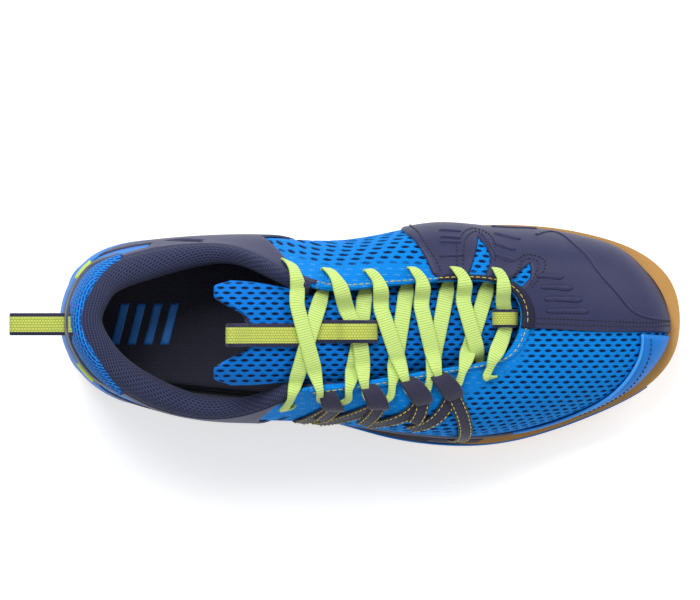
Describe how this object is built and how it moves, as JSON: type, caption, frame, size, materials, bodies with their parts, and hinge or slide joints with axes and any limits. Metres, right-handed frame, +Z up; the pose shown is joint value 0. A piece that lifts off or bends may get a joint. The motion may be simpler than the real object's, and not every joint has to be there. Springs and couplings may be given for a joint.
{
  "type": "court shoe",
  "caption": "Low-cut indoor court shoe with a padded collar, laced throat over a padded tongue, side webbing straps, pull loops and a flat gum rubber sole with toe spring.",
  "frame": {"origin": "on the ground plane under the middle of the sole's length and near the middle of its width", "axes": "+X towards the toe, +Y towards the medial (big toe) side, +Z up; right foot"},
  "size_m": [0.3185, 0.1079, 0.1071],
  "materials": {
    "gum_rubber": "satin",
    "eva_foam": "matte",
    "shank_plastic": "satin",
    "board_felt": "matte",
    "footbed_cloth": "matte",
    "blue_mesh": "matte",
    "blue_band_mesh": "matte",
    "lining_knit": "matte",
    "padding_foam": "matte",
    "stiffener_board": "matte",
    "navy_film": "satin",
    "blue_film": "satin",
    "grey_film": "satin",
    "lime_insert": "satin",
    "navy_webbing": "matte",
    "lime_webbing": "matte",
    "lime_lace": "matte"
  },
  "bodies": {
    "shoe": {"outsole": "gum_rubber", "midsole": "eva_foam", "midfoot_shank": "shank_plastic", "lasting_board": "board_felt", "footbed": "footbed_cloth", "heel_mesh": "blue_band_mesh", "medial_quarter_mesh": "blue_mesh", "vamp_mesh": "blue_mesh", "lateral_quarter_mesh": "blue_mesh", "vamp_lining": "lining_knit", "toe_stiffener": "stiffener_board", "heel_stiffener": "stiffener_board", "collar_foam": "padding_foam", "collar_lining": "lining_knit", "toe_overlay": "navy_film", "toe_guard": "blue_film", "throat_trim": "blue_film", "heel_counter": "grey_film", "heel_wrap_film": "blue_film", "heel_accent_inserts": "lime_insert", "side_strap_1": "navy_webbing", "side_strap_2": "navy_webbing", "side_strap_3": "navy_webbing", "side_strap_4": "navy_webbing", "tongue_face_base": "blue_mesh", "tongue_foam_base": "padding_foam", "tongue_lining_base": "lining_knit", "tongue_lace_keeper": "lime_webbing", "front_lace_keeper": "lime_webbing", "heel_loop_stub": "lime_webbing", "lace": "lime_lace"},
    "tongue_top": {"tongue_face_top": "blue_mesh", "tongue_foam_top": "padding_foam", "tongue_lining_top": "lining_knit", "tongue_pull_loop": "lime_webbing"},
    "heel_loop": {"heel_pull_loop": "lime_webbing"}
  },
  "joints": [
    {"name": "tongue_flex", "type": "hinge", "parent": "shoe", "child": "tongue_top", "pos_m": [-0.037, -0.0065, 0.0885], "axis": [0, 1, 0], "range_deg": [0, 40]},
    {"name": "heel_loop_swing", "type": "hinge", "parent": "shoe", "child": "heel_loop", "pos_m": [-0.1411, -0.0012, 0.084], "axis": [0, 1, 0], "range_deg": [-55, 55]}
  ]
}
